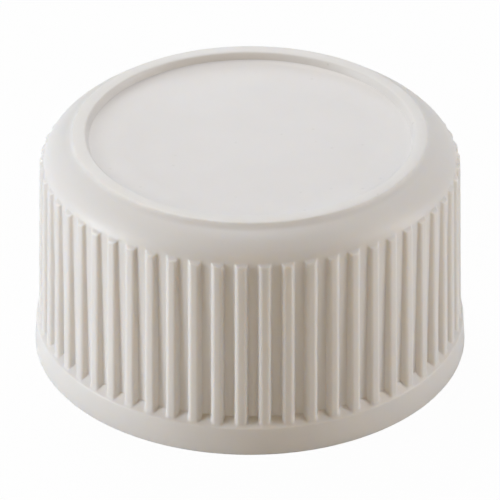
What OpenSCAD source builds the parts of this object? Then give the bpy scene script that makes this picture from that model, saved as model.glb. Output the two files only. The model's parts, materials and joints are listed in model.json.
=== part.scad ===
// Septum screw cap: a ribbed, moulded closure with a round window in its top, and the rubber
// septum that fills the window. It stands on its open rim, with the Z axis through its middle.

/* [Cap] */
// Diameter of the socket that takes the threaded neck, measured at the thread's root
socket_d = 37.9; // [24:0.1:60]
// Height from the rim to the top of the ring
cap_h = 23.3; // [18:0.1:30]

/* [Ring around the window] */
// Width of the ring's top, from the window to the rounding of its outer edge
ring_w = 1.42; // [1.2:0.02:1.7]
// Height of the ring above its foot on the shoulder
ring_h = 0.42; // [0.35:0.02:0.6]
// Slope of the ring's outer side below the horizontal, in degrees
ring_slope = 48; // [35:1:60]
// Rounding of the ring's outer edge
ring_round = 0.32; // [0.2:0.02:0.5]
// Rounding of the ring's edge at the window
window_round = 0.25; // [0.1:0.05:0.4]
// Flare of the window's wall above the septum's face, in degrees from the axis
window_flare = 22; // [0:1:30]

/* [Shoulder] */
// Slope of the shoulder below the horizontal at the ring's foot, in degrees
shoulder_slope = 24; // [18:0.5:32]
// Slope at which the shoulder's wide curve passes into its bend, in degrees
bend_slope = 47.5; // [40:0.5:60]
// Radius of the bend, which turns the shoulder into the side wall
bend_r = 2.2; // [1:0.1:3]

/* [Side wall] */
// Thickness of the wall between the ribs, from the thread's root out, just above the ledge
wall_t = 1.41; // [1:0.01:1.8]
// Draft of the wall between the ribs, in degrees
wall_draft = 0.8; // [0:0.1:1.5]

/* [Ribs] */
// Number of ribs round the cap
rib_count = 58; // [40:1:64]
// Width of one rib at its crest, roundings included
rib_w = 1.22; // [0.9:0.02:1.4]
// Height of the ribs above the wall, just above the ledge
rib_h = 0.68; // [0.4:0.02:0.9]
// Draft of the rib crests, in degrees
rib_draft = 2; // [1:0.1:2.4]
// Lean of each side of a rib, in degrees
flank_draft = 18; // [8:1:24]
// Rounding of the two long edges of a rib's crest
rib_round = 0.42; // [0.1:0.02:0.44]
// Distance from the top of the ring down to the upper ends of the ribs
rib_drop = 3; // [2.6:0.05:4]
// Slope of the ribs' upper ends below the horizontal, in degrees
rib_end_slope = 30; // [10:1:45]

/* [Skirt] */
// Thickness of the plain band at the rim, from the thread's root out
skirt_t = 2.55; // [2.3:0.05:3]
// Height of the plain band below the ledge
skirt_h = 3.02; // [2:0.02:4]
// Draft of the plain band, in degrees
skirt_draft = 4; // [1:0.5:7]
// Slope of the ledge between wall and plain band, in degrees
ledge_slope = 35; // [20:1:50]
// Rounding of the plain band's upper edge
skirt_round = 0.3; // [0.1:0.05:0.5]
// Rounding of the rim's outer edge
rim_round = 0.1; // [0.05:0.05:0.4]

/* [Inside] */
// Distance from the inner end of the socket to the bead under the septum
socket_land = 0.35; // [0.2:0.05:2]
// Width of the lead-in chamfer at the rim
lead_in = 0.5; // [0.2:0.1:0.8]
// How far the septum's chamber stands in from the socket's wall
chamber_step = 0.85; // [0.5:0.05:1.5]
// How far the bead under the septum stands in from the chamber's wall
bead_h = 0.35; // [0.2:0.05:0.45]
// Thickness of the cap's top plate under the shoulder
plate_t = 1.48; // [1:0.02:1.6]
// Width of the plate's lip, from the chamber's wall in to the window
lip_w = 2.45; // [1:0.05:4]

/* [Septum] */
// Thickness of the septum's flange
septum_t = 2; // [1.5:0.1:3]
// Depth of the septum's face below the top of the ring
recess = 0.72; // [0.5:0.02:1]
// Gap round the septum, at its flange and in the window
septum_gap = 0.1; // [0.05:0.05:0.2]
// Rounding of the septum's top edge
septum_round = 0.25; // [0.1:0.05:0.4]

/* [Hidden] */
$fn = 96;

// Steps in the bend's and the bead's arcs, and in the rounding of an edge.
round_steps = 6;
edge_steps = 3;
// How far a rib's root reaches into the wall, and its lower end into the skirt.
rib_sink = 0.5;

socket_r = socket_d / 2;
wall_r = socket_r + wall_t;
cap_r = socket_r + skirt_t;
chamber_r = socket_r - chamber_step;
window_r = chamber_r - lip_w;
ring_top_r = window_r + ring_w;
shoulder_z = cap_h - ring_h;
// Angle of the ring's outer side from the axis, and the foot that this side runs down to.
ring_lean = 90 - ring_slope;
ring_foot_r = ring_top_r + ring_round * cos(ring_lean)
    + (ring_h - ring_round * (1 - sin(ring_lean))) * tan(ring_lean);
plate_z = shoulder_z - plate_t;
face_z = cap_h - recess;
// Where the rounding of the ring's edge begins, above the window's flared wall.
flare_r = window_r + window_round * cos(window_flare)
    + (recess - window_round * (1 - sin(window_flare))) * tan(window_flare);

// The plain band: its face leans in from the rim's corner to its upper edge.
function skirt_r(z) = cap_r - (z - rim_round) * tan(skirt_draft);
// The wall between the ribs, and the ribs' crests, both lean in from the ledge upwards.
ledge_in_z = skirt_h + (skirt_r(skirt_h) - wall_r) * tan(ledge_slope);
function wall_at(z) = wall_r - (z - ledge_in_z) * tan(wall_draft);
function crest_at(z) = wall_r + rib_h - (z - ledge_in_z) * tan(rib_draft);

// The shoulder: a wide curve from the ring's foot, then a tighter bend that ends tangent to the
// wall. Angles are those of the surface's normal above the horizontal.
foot_angle = 90 - shoulder_slope;
bend_angle = 90 - bend_slope;
// Width and height of the bend, and the width and height of the wide curve for a radius of 1.
bend_w = bend_r * (cos(wall_draft) - cos(bend_angle));
bend_h = bend_r * (sin(bend_angle) - sin(wall_draft));
curve_w = cos(bend_angle) - cos(foot_angle);
curve_h = sin(foot_angle) - sin(bend_angle);
// Height at which the bend has to leave the wall for the curve to meet the foot.
curve_lean = curve_h / curve_w;
bend_z = (shoulder_z - bend_h - curve_lean * (wall_at(0) - ring_foot_r - bend_w))
    / (1 - curve_lean * tan(wall_draft));
curve_r = (wall_at(bend_z) - ring_foot_r - bend_w) / curve_w;
bend_centre = [wall_at(bend_z) - bend_r * cos(wall_draft), bend_z - bend_r * sin(wall_draft)];
curve_centre = bend_centre - (curve_r - bend_r) * [cos(bend_angle), sin(bend_angle)];

septum_r = chamber_r - septum_gap;
plug_r = window_r - septum_gap;
septum_z = plate_z - septum_t;
bead_z = septum_z - septum_gap - bead_h;
// A chamfer of equal height and width leads from the socket in to the septum's chamber.
chamber_low_z = bead_z - bead_h - socket_land;
socket_depth = chamber_low_z - chamber_step;

// Points along an arc round centre c, from angle a0 to angle a1.
function arc(c, r, a0, a1, steps = round_steps) = [
    for (i = [0:steps])
        let (a = a0 + (a1 - a0) * i / steps)
        [c[0] + r * cos(a), c[1] + r * sin(a)]
];

// Outside of the cap without its ribs, from the rim up to the window's edge.
outer_line = concat(
    arc([cap_r - rim_round, rim_round], rim_round, -90, 0, edge_steps),
    arc([skirt_r(skirt_h) - skirt_round, skirt_h - skirt_round],
        skirt_round, skirt_draft, 90 - ledge_slope, edge_steps),
    [[wall_r, ledge_in_z]],
    arc(bend_centre, bend_r, wall_draft, bend_angle),
    arc(curve_centre, curve_r, bend_angle + 4, foot_angle, edge_steps),
    arc([ring_top_r, cap_h - ring_round], ring_round, ring_lean, 90, edge_steps),
    arc([flare_r, cap_h - window_round], window_round, 90, 180 - window_flare, edge_steps),
    [[window_r, face_z]]
);

// Inside of the cap, from the window's edge down to the rim: plate, septum chamber with its
// bead, then the socket for the neck.
inner_line = concat(
    [[window_r, plate_z], [chamber_r, plate_z]],
    arc([chamber_r, bead_z], bead_h, 90, 270),
    [
        [chamber_r, chamber_low_z],
        [socket_r, socket_depth],
        [socket_r, lead_in],
        [socket_r + lead_in, 0]
    ]
);

// Cross-section of one rib: leaning sides and a rounded crest, with the crest on Y = 0.
module rib_section() {
    half = rib_w / 2;
    root = rib_h + rib_sink;
    root_half = half - rib_round * (1 - cos(flank_draft))
        + (root - rib_round * (1 - sin(flank_draft))) * tan(flank_draft);
    polygon(concat(
        [[root_half, -root]],
        arc([half - rib_round, -rib_round], rib_round, flank_draft, 90, edge_steps),
        arc([rib_round - half, -rib_round], rib_round, 90, 180 - flank_draft, edge_steps),
        [[-root_half, -root]]
    ));
}

// One rib, leaning in by its draft, with its upper end cut to a slope.
module rib() {
    top_z = cap_h - rib_drop;
    foot_z = skirt_h - rib_sink;
    inside_r = socket_r;
    function end_z(r) = top_z - (r - crest_at(top_z)) * tan(rib_end_slope);
    intersection() {
        translate([0, crest_at(foot_z), foot_z])
            rotate([rib_draft, 0, 0])
            linear_extrude(cap_h)
            rib_section();
        rotate([90, 0, 90])
            linear_extrude(2 * rib_w, center = true)
            polygon([
                [inside_r, foot_z - rib_h],
                [cap_r, foot_z - rib_h],
                [cap_r, end_z(cap_r)],
                [inside_r, end_z(inside_r)]
            ]);
    }
}

module cap_shell() {
    color("whitesmoke") {
        rotate_extrude() polygon(concat(outer_line, inner_line));
        for (i = [0:rib_count - 1])
            rotate([0, 0, (i + 0.5) * 360 / rib_count])
            rib();
    }
}

module septum() {
    color("gainsboro")
        rotate_extrude()
        polygon(concat(
            [[0, septum_z], [septum_r, septum_z], [septum_r, plate_z], [plug_r, plate_z]],
            arc([plug_r - septum_round, face_z - septum_round], septum_round, 0, 90, edge_steps),
            [[0, face_z]]
        ));
}

cap_shell();
septum();
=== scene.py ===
"""Looks of the septum screw cap: a ribbed polypropylene shell and the septum in its window.

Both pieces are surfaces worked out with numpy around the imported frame. Outlines are in
millimetres, as (radius, height) pairs, and become metres when a mesh is made.
"""

import json

import bpy
import numpy as np
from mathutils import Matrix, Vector


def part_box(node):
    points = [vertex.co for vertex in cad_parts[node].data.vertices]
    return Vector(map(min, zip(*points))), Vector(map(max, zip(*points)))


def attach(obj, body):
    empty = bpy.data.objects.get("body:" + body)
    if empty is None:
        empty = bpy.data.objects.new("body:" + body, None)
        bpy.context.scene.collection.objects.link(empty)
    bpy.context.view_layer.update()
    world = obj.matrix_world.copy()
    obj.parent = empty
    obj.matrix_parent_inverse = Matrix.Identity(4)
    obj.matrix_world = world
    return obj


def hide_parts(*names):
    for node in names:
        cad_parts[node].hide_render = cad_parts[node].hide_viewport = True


MM = 0.001

# ---------------------------------------------------------------- the frame
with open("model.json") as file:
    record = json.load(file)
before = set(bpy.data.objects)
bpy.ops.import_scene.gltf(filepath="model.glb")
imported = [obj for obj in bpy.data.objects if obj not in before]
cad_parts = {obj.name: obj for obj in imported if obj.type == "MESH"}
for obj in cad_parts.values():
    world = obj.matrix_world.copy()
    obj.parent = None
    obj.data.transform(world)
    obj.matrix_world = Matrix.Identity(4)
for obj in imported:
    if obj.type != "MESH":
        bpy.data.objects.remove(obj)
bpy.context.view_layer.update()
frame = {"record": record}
shell_low, shell_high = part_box("cap_shell")
septum_low, septum_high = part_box("septum")
socket = next(m for m in frame["record"]["mounts"] if m["name"] == "neck_socket")

# ---------------------------------------------------------------- sizes, in millimetres
# Angles are in degrees. The frame gives the overall sizes, the socket and the septum.
CAP_H = shell_high.z / MM
CAP_R = (shell_high.x - shell_low.x) / 2 / MM
SOCKET_R = socket["dims"]["r_mm"]
SEPTUM_R = septum_high.x / MM
SEPTUM_LOW = septum_low.z / MM
FACE_Z = septum_high.z / MM

# The side wall between the ribs, and the shoulder with its bend into the wall.
WALL_T = 1.41
WALL_R = SOCKET_R + WALL_T
WALL_DRAFT = 0.8
FOOT_ANGLE = 66.0
BEND_ANGLE = 42.5
BEND_R = 2.2

# The ring round the window, and the window's flared wall.
RING_W = 1.42
RING_H = 0.42
RING_LEAN = 42.0
RING_ROUND = 0.32
WINDOW_ROUND = 0.25
WINDOW_FLARE = 22.0

# The ribs. Where a rib ends or meets the wall, the corner is rounded over a blend.
RIB_COUNT = 58
RIB_W = 1.22
RIB_H = 0.68
RIB_DRAFT = 2.0
FLANK_DRAFT = 18.0
RIB_ROUND = 0.42
RIB_DROP = 3.0
RIB_END_SLOPE = 30.0
RIB_END_BLEND = 0.16
RIB_ROOT_BLEND = 0.12
RIB_REACH = 0.6
PITCH_ANGLE = 2 * np.pi / RIB_COUNT

# The plain band at the rim, with the ledge above it.
SKIRT_H = 3.02
SKIRT_DRAFT = 4.0
LEDGE_SLOPE = 35.0
SKIRT_ROUND = 0.3
RIM_ROUND = 0.1

# The inside: lead-in, socket, chamber with its bead, and the top plate with the window.
LEAD_IN = 0.5
SOCKET_LAND = 0.35
BEAD_H = 0.35
CORNER_ROUND = 0.15
PLATE_T = 1.48
LIP_W = 2.45
SEPTUM_GAP = 0.1
CHAMBER_R = SEPTUM_R + SEPTUM_GAP
WINDOW_R = CHAMBER_R - LIP_W
SHOULDER_Z = CAP_H - RING_H
PLATE_Z = SHOULDER_Z - PLATE_T


def tan(degrees):
    """The tangent of an angle in degrees."""
    return np.tan(np.radians(degrees))


def skirt_r(z):
    """Radius of the plain band: it leans in from the rim's corner by its draft."""
    return CAP_R - (z - RIM_ROUND) * tan(SKIRT_DRAFT)


LEDGE_IN_Z = SKIRT_H + (skirt_r(SKIRT_H) - WALL_R) * tan(LEDGE_SLOPE)


def wall_at(z):
    """Radius of the wall between the ribs: it leans in from the ledge by its draft."""
    return WALL_R - (z - LEDGE_IN_Z) * tan(WALL_DRAFT)


def crest_at(z):
    """Radius of the ribs' crests: they lean in from the ledge by their own draft."""
    return WALL_R + RIB_H - (z - LEDGE_IN_Z) * tan(RIB_DRAFT)


# ---------------------------------------------------------------- outlines
def arc(centre, radius, start, end, steps):
    """Points on a circle round centre, from angle start to angle end, in degrees."""
    a = np.radians(np.linspace(start, end, steps + 1))
    return np.c_[centre[0] + radius * np.cos(a), centre[1] + radius * np.sin(a)]


def divide(start, end, steps):
    """Points that cut the straight line from start to end into equal steps, ends left out."""
    t = np.linspace(0, 1, steps + 1)[1:-1, None]
    return np.asarray(start) * (1 - t) + np.asarray(end) * t


def unit(degrees):
    """The unit vector at an angle above the radial direction, or one column for each angle."""
    return np.array([np.cos(np.radians(degrees)), np.sin(np.radians(degrees))])


def outer_outline():
    """The cap's outside without ribs, from the rim's corner up to the window's edge.

    The shoulder is two arcs that touch: a wide curve that starts at the ring's foot, and the bend,
    which ends tangent to the leaning wall. The height where the bend leaves the wall follows from
    curve height / curve width = (foot height - bend) / (wall radius - foot radius - bend). The
    outline has more rows where the ribs end."""
    flat_r = WINDOW_R + RING_W
    foot = np.array([flat_r + RING_ROUND * unit(RING_LEAN)[0]
                     + (RING_H - RING_ROUND * (1 - unit(RING_LEAN)[1])) * tan(RING_LEAN), SHOULDER_Z])
    bend_w, bend_h = BEND_R * (unit(WALL_DRAFT) - unit(BEND_ANGLE)) * (1, -1)
    curve_w, curve_h = (unit(BEND_ANGLE) - unit(FOOT_ANGLE)) * (1, -1)
    bend_z = (SHOULDER_Z - bend_h - curve_h / curve_w * (wall_at(0) - foot[0] - bend_w))
    bend_z = bend_z / (1 - curve_h / curve_w * tan(WALL_DRAFT))
    curve_r = (wall_at(bend_z) - foot[0] - bend_w) / curve_w
    bend_centre = np.array([wall_at(bend_z), bend_z]) - BEND_R * unit(WALL_DRAFT)
    curve_centre = bend_centre - (curve_r - BEND_R) * unit(BEND_ANGLE)
    rim = arc((CAP_R - RIM_ROUND, RIM_ROUND), RIM_ROUND, -90, 0, 4)
    edge = arc((skirt_r(SKIRT_H) - SKIRT_ROUND, SKIRT_H - SKIRT_ROUND), SKIRT_ROUND,
               SKIRT_DRAFT, 90 - LEDGE_SLOPE, 4)
    ledge_in = np.array([[WALL_R, LEDGE_IN_Z]])
    rib_ends = np.linspace(6, 19, 11)
    bend_turn = np.concatenate([[WALL_DRAFT, 3.5], rib_ends, [22, 26, 31, 37, BEND_ANGLE]])
    bend_arc = bend_centre + BEND_R * unit(bend_turn).T
    curve_arc = arc(curve_centre, curve_r, BEND_ANGLE, FOOT_ANGLE, 6)[1:]
    ring_out = arc((flat_r, CAP_H - RING_ROUND), RING_ROUND, RING_LEAN, 90, 4)
    flare_r = (WINDOW_R + WINDOW_ROUND * unit(WINDOW_FLARE)[0]
               + (CAP_H - FACE_Z - WINDOW_ROUND * (1 - unit(WINDOW_FLARE)[1])) * tan(WINDOW_FLARE))
    ring_in = arc((flare_r, CAP_H - WINDOW_ROUND), WINDOW_ROUND, 90, 180 - WINDOW_FLARE, 4)
    face_edge = np.array([[WINDOW_R, FACE_Z]])
    wall_rows = np.array([LEDGE_IN_Z + 0.15, 4.2, 9.0, 14.0, 18.5, bend_z - 0.4])
    wall = np.c_[wall_at(wall_rows), wall_rows]
    return np.vstack([
        rim, divide(rim[-1], edge[0], 2), edge, divide(edge[-1], ledge_in[0], 7), ledge_in, wall,
        bend_arc, curve_arc, ring_out, ring_in, face_edge,
    ])


def smooth_max(a, b, blend):
    """The larger of a and b, with the corner between them rounded over about blend.

    It is (a + b + sqrt((a - b)^2 + blend^2)) / 2."""
    return (a + b + np.sqrt((a - b) ** 2 + blend ** 2)) / 2


def smooth_min(a, b, blend):
    """The smaller of a and b, with the corner between them rounded over about blend."""
    return -smooth_max(-a, -b, blend)


# Places across half a rib pitch, in millimetres from the rib's middle.
HALF_PITCH = PITCH_ANGLE / 2 * (WALL_R + RIB_H)
ACROSS = np.array([0, 0.15, 0.23, 0.31, 0.39, 0.47, 0.54, 0.6, 0.7, 0.85])


def rib_angles():
    """Angles of the mesh's columns all round, and each one's distance from its rib's middle."""
    one = np.concatenate([ACROSS, [HALF_PITCH], -ACROSS[:0:-1]])
    turn = np.arange(RIB_COUNT)[:, None] * PITCH_ANGLE
    offset = np.where(one < 0, one + 2 * HALF_PITCH, one) / HALF_PITCH * PITCH_ANGLE / 2
    angle = (turn + offset[None, :] + np.pi / 2 + PITCH_ANGLE / 2).ravel()
    return angle, np.tile(np.abs(one), RIB_COUNT)


def rib_drop(across):
    """How far a rib's section lies below its crest.

    Nothing on the crest, r - sqrt(r^2 - over^2) on the circle of radius r that rounds its edge, and
    the distance past that circle over tan(draft) on its steep side."""
    over = np.clip(across - (RIB_W / 2 - RIB_ROUND), 0, RIB_ROUND * unit(FLANK_DRAFT)[0])
    circle = RIB_ROUND - np.sqrt(RIB_ROUND ** 2 - over ** 2)
    flank = across - (RIB_W / 2 - RIB_ROUND) - RIB_ROUND * unit(FLANK_DRAFT)[0]
    return circle + np.clip(flank, 0, None) / tan(FLANK_DRAFT)


def ribbed(outline, across):
    """Radius at each outline point and column: the larger of the plain outline and the rib.

    A rib is its crest line less its section, or the slope of its upper end where that is less."""
    r, z = outline[:, :1], outline[:, 1:]
    crest = crest_at(z) - rib_drop(across)[None, :]
    top_z = CAP_H - RIB_DROP
    end = crest_at(top_z) + (top_z - z) / tan(RIB_END_SLOPE)
    rib = smooth_min(crest, end, RIB_END_BLEND)
    in_reach = (z > SKIRT_H - RIB_REACH) & (z < SHOULDER_Z - RIB_REACH)
    return np.where(in_reach, smooth_max(r, rib, RIB_ROOT_BLEND), r)


# ---------------------------------------------------------------- meshes
def grid_faces(rows, columns, first=0):
    """Quads between the rows of a grid whose columns close round into a ring."""
    row = np.arange(rows - 1)[:, None] * columns
    column = np.arange(columns)[None, :]
    after = (column + 1) % columns
    quads = np.stack([row + column, row + after, row + columns + after, row + columns + column], -1)
    return quads.reshape(-1, 4) + first


SHARP_ANGLE = 38.0


def make_mesh(name, points, faces):
    """An object of the points, in millimetres, smooth but for corners beyond SHARP_ANGLE."""
    mesh = bpy.data.meshes.new(name)
    mesh.from_pydata((points * MM).tolist(), [], faces)
    mesh.validate()
    mesh.shade_smooth()
    mesh.set_sharp_from_angle(angle=np.radians(SHARP_ANGLE))
    piece = bpy.data.objects.new(name, mesh)
    bpy.context.scene.collection.objects.link(piece)
    return piece


def round_points(radius, angle, height):
    """Points of a grid from its radii, one row for each height and one column for each angle."""
    shape = np.broadcast(radius, angle[None, :], height).shape
    return np.stack([
        np.broadcast_to(radius * np.cos(angle)[None, :], shape),
        np.broadcast_to(radius * np.sin(angle)[None, :], shape),
        np.broadcast_to(height, shape),
    ], -1).reshape(-1, 3)


# The neck thread's helix, its ridge at crest and base, and the part of a turn in which it fades.
THREAD_PITCH = 4.23
THREAD_DEPTH = 1.05
THREAD_CREST = 0.7
THREAD_BASE = 2.1
THREAD_LOW = 2.6
THREAD_TURNS = 1.75
THREAD_FADE = 0.08


def thread_height(angle, z):
    """Height of the neck thread's ridge above the socket's wall.

    On a right-hand helix of height low + pitch * turns, the ridge is depth * s * s * (3 - 2 * s),
    where s falls from one to nought between the crest's half width and the base's."""
    height = np.zeros(np.broadcast(angle, z).shape)
    turn = angle / (2 * np.pi)
    for lap in range(int(THREAD_TURNS) + 2):
        along = turn + lap
        middle = THREAD_LOW + along * THREAD_PITCH
        aside = np.abs(z - middle)
        side = np.clip((THREAD_BASE / 2 - aside) / (THREAD_BASE / 2 - THREAD_CREST / 2), 0, 1)
        side = side * side * (3 - 2 * side)
        ends = np.clip(along / THREAD_FADE, 0, 1) * np.clip((THREAD_TURNS - along) / THREAD_FADE, 0, 1)
        height = np.maximum(height, THREAD_DEPTH * side * ends)
    return height


SOCKET_ROWS = 56


def inner_outline():
    """The cap's inside, from the window's edge down to the rim: plate, chamber, bead, socket."""
    bead_z = SEPTUM_LOW - SEPTUM_GAP - BEAD_H
    low_z = bead_z - BEAD_H - SOCKET_LAND
    top_z = low_z - (SOCKET_R - CHAMBER_R)
    corners = [
        [[WINDOW_R, PLATE_Z + 0.6], [WINDOW_R, PLATE_Z], [CHAMBER_R - CORNER_ROUND, PLATE_Z]],
        arc((CHAMBER_R - CORNER_ROUND, PLATE_Z - CORNER_ROUND), CORNER_ROUND, 90, 0, 3)[1:],
        arc((CHAMBER_R, bead_z), BEAD_H, 90, 270, 8),
        [[CHAMBER_R, low_z], [SOCKET_R - 0.1, top_z + 0.1], [SOCKET_R, top_z - 0.05]],
        np.c_[np.full(SOCKET_ROWS, SOCKET_R), np.linspace(top_z - 0.3, LEAD_IN + 0.1, SOCKET_ROWS)],
        [[SOCKET_R, LEAD_IN], [SOCKET_R + LEAD_IN, 0]],
    ]
    return np.vstack(corners)


INNER_COLUMNS_PER_RIB = 4


def cap_shell():
    """The moulded shell as one closed surface.

    Outside: the outline turned round the axis, with the ribs' radius where it is larger.
    Inside: the socket's outline turned, less the thread's ridge. The rim's flat joins them."""
    angle, across = rib_angles()
    outside = outer_outline()
    radius = ribbed(outside, across)
    outer = round_points(radius, angle, outside[:, 1:])
    columns, rows = len(angle), len(outside)
    per_rib = columns // RIB_COUNT
    step = per_rib // INNER_COLUMNS_PER_RIB
    inner_angle = angle[::step]
    inside = inner_outline()
    ridge = thread_height(inner_angle[None, :] % (2 * np.pi), inside[:, 1:])
    on_wall = (np.abs(inside[:, :1] - SOCKET_R) < 1e-6)
    inner = round_points(inside[:, :1] - ridge * on_wall, inner_angle, inside[:, 1:])
    few, inner_rows = len(inner_angle), len(inside)
    first = rows * columns
    faces = grid_faces(rows, columns).tolist() + grid_faces(inner_rows, few, first).tolist()
    top, bottom = (rows - 1) * columns, 0
    last = first + (inner_rows - 1) * few
    for k in range(few):
        outer_run = [(k * step + j) % columns for j in range(step + 1)]
        after = (k + 1) % few
        faces.append([top + j for j in outer_run] + [first + after, first + k])
        faces.append([bottom + j for j in outer_run[::-1]] + [last + k, last + after])
    return make_mesh("cap_moulding", np.vstack([outer, inner]), faces)


FACE_DIP = 0.3
FACE_RUN = 0.8
CENTRE_R = 0.4
EDGE_CUT = 0.1
SEPTUM_COLUMNS = 256


def septum():
    """The septum: its outline turned round the axis.

    The face dips away from the window's wall: its depth nears FACE_DIP as 1 - exp(-run), where
    run is the distance from the wall over FACE_RUN."""
    inward = np.concatenate([np.linspace(3.0, 0.8, 12) ** 2.4, np.linspace(0.5, 0, 9)])
    inward = inward / inward[0] * (WINDOW_R - CENTRE_R)
    depth = FACE_DIP * (1 - np.exp(-inward / FACE_RUN))
    outline = np.vstack([
        np.c_[WINDOW_R - inward, FACE_Z - depth],
        [[WINDOW_R, PLATE_Z + EDGE_CUT / 2], [SEPTUM_R - EDGE_CUT, PLATE_Z]],
        [[SEPTUM_R, PLATE_Z - EDGE_CUT], [SEPTUM_R, SEPTUM_LOW + EDGE_CUT]],
        [[SEPTUM_R - EDGE_CUT, SEPTUM_LOW], [SEPTUM_R / 2, SEPTUM_LOW], [CENTRE_R, SEPTUM_LOW]],
    ])[::-1]
    angle = np.arange(SEPTUM_COLUMNS) * 2 * np.pi / SEPTUM_COLUMNS
    points = round_points(outline[:, :1], angle, outline[:, 1:])
    last = (len(outline) - 1) * SEPTUM_COLUMNS
    faces = grid_faces(len(outline), SEPTUM_COLUMNS).tolist()
    faces.append(list(range(SEPTUM_COLUMNS))[::-1])
    faces.append(list(range(last, last + SEPTUM_COLUMNS)))
    return make_mesh("septum_disc", points, faces)


# ---------------------------------------------------------------- materials
PLASTIC_COLOUR = (0.80, 0.777, 0.762)
RUBBER_COLOUR = (0.80, 0.775, 0.77)
SCUFF_COLOUR = (0.92, 0.91, 0.9)
NICK_COLOUR = (0.42, 0.4, 0.36)
DUST_COLOUR = (0.4, 0.38, 0.35)
SATIN_ROUGHNESS = 0.42
PLASTIC_IOR = 1.49

# How far light spreads under the surface, and how far from the seam it begins to.
SCATTER = 0.5
SEAM_REACH = 1.6

# The widths of the blotches of tone, sheen, grain and scuffs, and the grain's depth.
TONE_SIZE = 9.0
SHEEN_SIZE = 1.6
GRAIN_SIZE = 0.22
GRAIN_DEPTH = 0.004
SCUFF_SIZE = 1.4

# Marks: the spacing of their cells, the share of cells that have one, and their greatest radius.
NICKS = (1.3, 0.22, 0.2)
DUST = (1.5, 0.3, 0.24)


def new_material(name):
    """A material with its Principled BSDF, and its node tree."""
    material = bpy.data.materials.new(name)
    material.use_nodes = True
    return material, material.node_tree


def new_group(name, sockets_in, sockets_out):
    """An empty shader group with its sockets, and its input and output nodes."""
    group = bpy.data.node_groups.new(name, "ShaderNodeTree")
    for label, kind in sockets_in:
        group.interface.new_socket(label, in_out="INPUT", socket_type=kind)
    for label, kind in sockets_out:
        group.interface.new_socket(label, in_out="OUTPUT", socket_type=kind)
    return group, group.nodes.new("NodeGroupInput"), group.nodes.new("NodeGroupOutput")


def noise(tree, place, size, detail):
    """A noise of blotches about size millimetres wide, on Object coordinates."""
    node = tree.nodes.new("ShaderNodeTexNoise")
    node.inputs["Scale"].default_value = 1 / (size * MM)
    node.inputs["Detail"].default_value = detail
    tree.links.new(place.outputs["Object"], node.inputs["Vector"])
    return node.outputs["Fac"]


def spread(tree, value, low, high, to_low, to_high):
    """The value's range low to high, stretched to the range to_low to to_high."""
    node = tree.nodes.new("ShaderNodeMapRange")
    for label, amount in (("From Min", low), ("From Max", high), ("To Min", to_low), ("To Max", to_high)):
        node.inputs[label].default_value = amount
    tree.links.new(value, node.inputs["Value"])
    return node.outputs["Result"]


def times(tree, first, second):
    """The product of two values."""
    node = tree.nodes.new("ShaderNodeMath")
    node.operation = "MULTIPLY"
    tree.links.new(first, node.inputs[0])
    tree.links.new(second, node.inputs[1])
    return node.outputs["Value"]


def satin_group():
    """As moulded: a tone that drifts by a hundredth, uneven sheen and a fine grain."""
    group, into, out = new_group("satin_as_moulded",
                                 [("Colour", "NodeSocketColor"), ("Roughness", "NodeSocketFloat")],
                                 [("Colour", "NodeSocketColor"), ("Roughness", "NodeSocketFloat"),
                                  ("Normal", "NodeSocketVector")])
    place = group.nodes.new("ShaderNodeTexCoord")
    tone = spread(group, noise(group, place, TONE_SIZE, 3), 0.3, 0.7, 0.985, 1.015)
    shade = group.nodes.new("ShaderNodeVectorMath")
    shade.operation = "SCALE"
    group.links.new(into.outputs["Colour"], shade.inputs[0])
    group.links.new(tone, shade.inputs["Scale"])
    group.links.new(shade.outputs["Vector"], out.inputs["Colour"])
    sheen = spread(group, noise(group, place, SHEEN_SIZE, 2), 0.3, 0.7, 0.92, 1.08)
    group.links.new(times(group, into.outputs["Roughness"], sheen), out.inputs["Roughness"])
    grain = group.nodes.new("ShaderNodeBump")
    grain.inputs["Distance"].default_value = GRAIN_DEPTH * MM
    grain.inputs["Strength"].default_value = 0.5
    group.links.new(noise(group, place, GRAIN_SIZE, 1), grain.inputs["Height"])
    group.links.new(grain.outputs["Normal"], out.inputs["Normal"])
    return group


def speck_group():
    """A mask of small round marks: the middles of a few cells of a cell pattern."""
    group, into, out = new_group("small_marks",
                                 [("Spacing", "NodeSocketFloat"), ("Share", "NodeSocketFloat"),
                                  ("Width", "NodeSocketFloat")],
                                 [("Mask", "NodeSocketFloat")])
    place = group.nodes.new("ShaderNodeTexCoord")
    cells = group.nodes.new("ShaderNodeTexVoronoi")
    per_metre = group.nodes.new("ShaderNodeMath")
    per_metre.operation = "DIVIDE"
    per_metre.inputs[0].default_value = 1 / MM
    group.links.new(into.outputs["Spacing"], per_metre.inputs[1])
    group.links.new(per_metre.outputs["Value"], cells.inputs["Scale"])
    group.links.new(place.outputs["Object"], cells.inputs["Vector"])
    reach = group.nodes.new("ShaderNodeMath")
    reach.operation = "DIVIDE"
    group.links.new(into.outputs["Width"], reach.inputs[0])
    group.links.new(into.outputs["Spacing"], reach.inputs[1])
    inside = group.nodes.new("ShaderNodeMapRange")
    inside.interpolation_type = "SMOOTHSTEP"
    inside.inputs["To Min"].default_value = 1.0
    inside.inputs["To Max"].default_value = 0.0
    group.links.new(cells.outputs["Distance"], inside.inputs["Value"])
    group.links.new(reach.outputs["Value"], inside.inputs["From Max"])
    apart = group.nodes.new("ShaderNodeSeparateColor")
    group.links.new(cells.outputs["Color"], apart.inputs["Color"])
    chosen = group.nodes.new("ShaderNodeMath")
    chosen.operation = "LESS_THAN"
    group.links.new(apart.outputs["Red"], chosen.inputs[0])
    group.links.new(into.outputs["Share"], chosen.inputs[1])
    group.links.new(times(group, inside.outputs["Result"], chosen.outputs["Value"]), out.inputs["Mask"])
    return group


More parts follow.
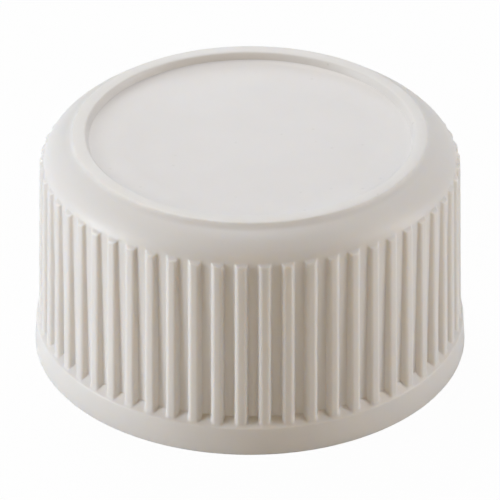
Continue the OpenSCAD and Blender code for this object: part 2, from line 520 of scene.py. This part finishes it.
def axis_distance(tree, place):
    """The distance from the cap's axis, on Object coordinates."""
    flat = tree.nodes.new("ShaderNodeVectorMath")
    flat.operation = "MULTIPLY"
    flat.inputs[1].default_value = (1, 1, 0)
    tree.links.new(place.outputs["Object"], flat.inputs[0])
    length = tree.nodes.new("ShaderNodeVectorMath")
    length.operation = "LENGTH"
    tree.links.new(flat.outputs["Vector"], length.inputs[0])
    return length.outputs["Value"]


def seam_group():
    """Nought on the circle where the septum meets the window's wall, and one beyond SEAM_REACH."""
    group, into, out = new_group("away_from_seam", [], [("Share", "NodeSocketFloat")])
    place = group.nodes.new("ShaderNodeTexCoord")
    apart = group.nodes.new("ShaderNodeSeparateXYZ")
    group.links.new(place.outputs["Object"], apart.inputs["Vector"])
    both = group.nodes.new("ShaderNodeCombineXYZ")
    group.links.new(axis_distance(group, place), both.inputs["X"])
    group.links.new(apart.outputs["Z"], both.inputs["Z"])
    away = group.nodes.new("ShaderNodeVectorMath")
    away.operation = "DISTANCE"
    away.inputs[1].default_value = (WINDOW_R * MM, 0, FACE_Z * MM)
    group.links.new(both.outputs["Vector"], away.inputs[0])
    share = group.nodes.new("ShaderNodeMapRange")
    share.interpolation_type = "SMOOTHSTEP"
    share.inputs["From Max"].default_value = SEAM_REACH * MM
    group.links.new(away.outputs["Value"], share.inputs["Value"])
    group.links.new(share.outputs["Result"], out.inputs["Share"])
    return group


SATIN = satin_group()
SPECKS = speck_group()
SEAM = seam_group()


def specks(tree, marks):
    """The mask of the marks: their spacing, share and radius, with lengths in millimetres."""
    spacing, share, width = marks
    node = tree.nodes.new("ShaderNodeGroup")
    node.node_tree = SPECKS
    node.inputs["Spacing"].default_value = spacing
    node.inputs["Share"].default_value = share
    node.inputs["Width"].default_value = width
    return node.outputs["Mask"]


def marked(tree, colour, mask, mark_colour, most):
    """The colour with mark_colour laid over it where the mask is, by no more than most."""
    mix = tree.nodes.new("ShaderNodeMix")
    mix.data_type = "RGBA"
    mix.inputs["B"].default_value = (*mark_colour, 1)
    tree.links.new(spread(tree, mask, 0, 1, 0, most), mix.inputs["Factor"])
    tree.links.new(colour, mix.inputs["A"])
    return mix.outputs["Result"]


def moulded_material(name, colour):
    """Satin plastic or rubber in which light spreads a little under the surface.

    Near the seam between the two pieces it doesn't, as it would be lost in the gap."""
    material, tree = new_material(name)
    shader = tree.nodes["Principled BSDF"]
    shader.inputs["IOR"].default_value = PLASTIC_IOR
    away = tree.nodes.new("ShaderNodeGroup")
    away.node_tree = SEAM
    tree.links.new(away.outputs["Share"], shader.inputs["Subsurface Weight"])
    shader.inputs["Subsurface Radius"].default_value = (1.0, 0.9, 0.75)
    shader.inputs["Subsurface Scale"].default_value = SCATTER * MM
    satin = tree.nodes.new("ShaderNodeGroup")
    satin.node_tree = SATIN
    satin.inputs["Colour"].default_value = (*colour, 1)
    satin.inputs["Roughness"].default_value = SATIN_ROUGHNESS
    tree.links.new(satin.outputs["Roughness"], shader.inputs["Roughness"])
    tree.links.new(satin.outputs["Normal"], shader.inputs["Normal"])
    return material, tree, shader, satin.outputs["Colour"]


def polypropylene():
    """The shell's plastic: the ring round the window has a few nicks and a scuffed outer edge."""
    material, tree, shader, colour = moulded_material("moulded_polypropylene", PLASTIC_COLOUR)
    place = tree.nodes.new("ShaderNodeTexCoord")
    apart = tree.nodes.new("ShaderNodeSeparateXYZ")
    tree.links.new(place.outputs["Object"], apart.inputs["Vector"])
    ring_foot = CAP_H - RING_H
    on_ring = spread(tree, apart.outputs["Z"], ring_foot * MM, (ring_foot + 0.2) * MM, 0, 1)
    ring_edge = WINDOW_R + RING_W
    from_axis = axis_distance(tree, place)
    outside = spread(tree, from_axis, ring_edge * MM, (ring_edge + RING_ROUND / 2) * MM, 0, 1)
    above = spread(tree, apart.outputs["Z"], (CAP_H - RING_ROUND) * MM, (CAP_H - 0.1) * MM, 0, 1)
    uneven = spread(tree, noise(tree, place, SCUFF_SIZE, 2), 0.3, 0.65, 0, 1)
    scuffs = times(tree, times(tree, outside, above), uneven)
    colour = marked(tree, colour, scuffs, SCUFF_COLOUR, 0.35)
    nicks = times(tree, specks(tree, NICKS), on_ring)
    tree.links.new(marked(tree, colour, nicks, NICK_COLOUR, 0.35), shader.inputs["Base Color"])
    return material


def septum_face():
    """The septum's rubber, with faint specks of dust on its face."""
    material, tree, shader, colour = moulded_material("septum_face", RUBBER_COLOUR)
    dust = specks(tree, DUST)
    tree.links.new(marked(tree, colour, dust, DUST_COLOUR, 0.16), shader.inputs["Base Color"])
    return material


plastic = polypropylene()
rubber = septum_face()

shell_piece = cap_shell()
shell_piece.data.materials.append(plastic)
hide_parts("cap_shell")
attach(shell_piece, "root")

septum_piece = septum()
septum_piece.data.materials.append(rubber)
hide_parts("septum")
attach(septum_piece, "root")


# ---------------------------------------------------------------- camera
# Degrees and millimetres: the camera goes round the axis at ORBIT_Z and looks at AIM_Z.
CAMERA_ELEVATION = 33.03
CAMERA_DISTANCE = 350.7
CAMERA_TURN = -0.77
CAMERA_LENS = 251.5
AIM_Z = 9.68
ORBIT_Z = 0.1


def place_camera():
    """The scene's camera, turned from the front towards +X and raised, without any roll."""
    data = bpy.data.cameras.new("camera")
    data.lens = CAMERA_LENS
    data.sensor_width = 36
    data.clip_start = 0.01
    camera = bpy.data.objects.new("camera", data)
    bpy.context.scene.collection.objects.link(camera)
    turn, rise = np.radians(CAMERA_TURN), np.radians(CAMERA_ELEVATION)
    place = Vector((np.sin(turn) * np.cos(rise), -np.cos(turn) * np.cos(rise), np.sin(rise)))
    camera.location = (place * CAMERA_DISTANCE + Vector((0, 0, ORBIT_Z))) * MM
    sight = Vector((0, 0, AIM_Z * MM)) - camera.location
    camera.rotation_euler = sight.to_track_quat("-Z", "Y").to_euler()
    bpy.context.scene.camera = camera


place_camera()


# ---------------------------------------------------------------- light and floor
LAMP_DISTANCE = 400.0
LAMP_SIZE = 130.0


def soft_lamp(name, turn, rise, power, colour):
    """A square area lamp that faces the cap: turned from the front towards +X, and raised."""
    data = bpy.data.lights.new(name, "AREA")
    data.size = LAMP_SIZE * MM
    data.energy = power
    data.color = colour
    lamp = bpy.data.objects.new(name, data)
    t, r = np.radians(turn), np.radians(rise)
    lamp.location = Vector((np.sin(t) * np.cos(r), -np.cos(t) * np.cos(r), np.sin(r))) * LAMP_DISTANCE * MM
    sight = Vector((0, 0, CAP_H / 2 * MM)) - lamp.location
    lamp.rotation_euler = sight.to_track_quat("-Z", "Y").to_euler()
    bpy.context.scene.collection.objects.link(lamp)
    return lamp


# Tints: white or cool from the sides and back, blue from above, cream from high at the back,
# warm from the front.
WHITE = (1.0, 1.0, 1.0)
COOL = (0.9, 0.95, 1.0)
SKY = (0.75, 0.85, 1.0)
CREAM = (1.0, 0.95, 0.85)
WARM = (1.0, 0.65, 0.2)

soft_lamp("lamp_low_left", -80, 5, 0.9, COOL)
soft_lamp("lamp_left", -80, 30, 0.4, COOL)
soft_lamp("lamp_low_right", 90, 5, 0.35, WHITE)
soft_lamp("lamp_right", 80, 30, 0.45, WHITE)
soft_lamp("lamp_back", 180, 30, 0.2, COOL)
soft_lamp("lamp_high_back", -160, 55, 0.5, CREAM)
soft_lamp("lamp_top", 0, 90, 0.3, SKY)
soft_lamp("lamp_front", 0, 30, 0.2, WARM)


def make_world():
    """Plain white where the camera sees the world, and no light from it on the cap."""
    world = bpy.data.worlds.new("studio")
    world.use_nodes = True
    tree = world.node_tree
    path = tree.nodes.new("ShaderNodeLightPath")
    tree.nodes["Background"].inputs["Color"].default_value = (1, 1, 1, 1)
    tree.links.new(path.outputs["Is Camera Ray"], tree.nodes["Background"].inputs["Strength"])
    bpy.context.scene.world = world


FLOOR_GAP = 0.01
FLOOR_SIZE = 6.0
FLOOR_COLOUR = (0.8, 0.8, 0.8)
FLOOR_WHITE = 0.97


def make_floor():
    """A wide pale floor: white to the camera, and darker only where the cap keeps light off."""
    mesh = bpy.data.meshes.new("floor")
    corners = np.array([(-1, -1), (1, -1), (1, 1), (-1, 1)]) * FLOOR_SIZE / 2
    mesh.from_pydata(np.c_[corners, np.full(4, -FLOOR_GAP * MM)].tolist(), [], [(0, 1, 2, 3)])
    floor = bpy.data.objects.new("floor", mesh)
    bpy.context.scene.collection.objects.link(floor)
    material, tree = new_material("pale_floor")
    tree.nodes.clear()
    out = tree.nodes.new("ShaderNodeOutputMaterial")
    diffuse = tree.nodes.new("ShaderNodeBsdfDiffuse")
    diffuse.inputs["Color"].default_value = (*FLOOR_COLOUR, 1)
    glow = tree.nodes.new("ShaderNodeEmission")
    glow.inputs["Strength"].default_value = 1.0
    path = tree.nodes.new("ShaderNodeLightPath")
    share = tree.nodes.new("ShaderNodeMath")
    share.operation = "MULTIPLY"
    share.inputs[1].default_value = FLOOR_WHITE
    mix = tree.nodes.new("ShaderNodeMixShader")
    tree.links.new(path.outputs["Is Camera Ray"], share.inputs[0])
    tree.links.new(share.outputs[0], mix.inputs["Fac"])
    tree.links.new(diffuse.outputs[0], mix.inputs[1])
    tree.links.new(glow.outputs[0], mix.inputs[2])
    tree.links.new(mix.outputs[0], out.inputs["Surface"])
    mesh.materials.append(material)


make_world()
make_floor()
bpy.context.scene.view_settings.view_transform = "Standard"
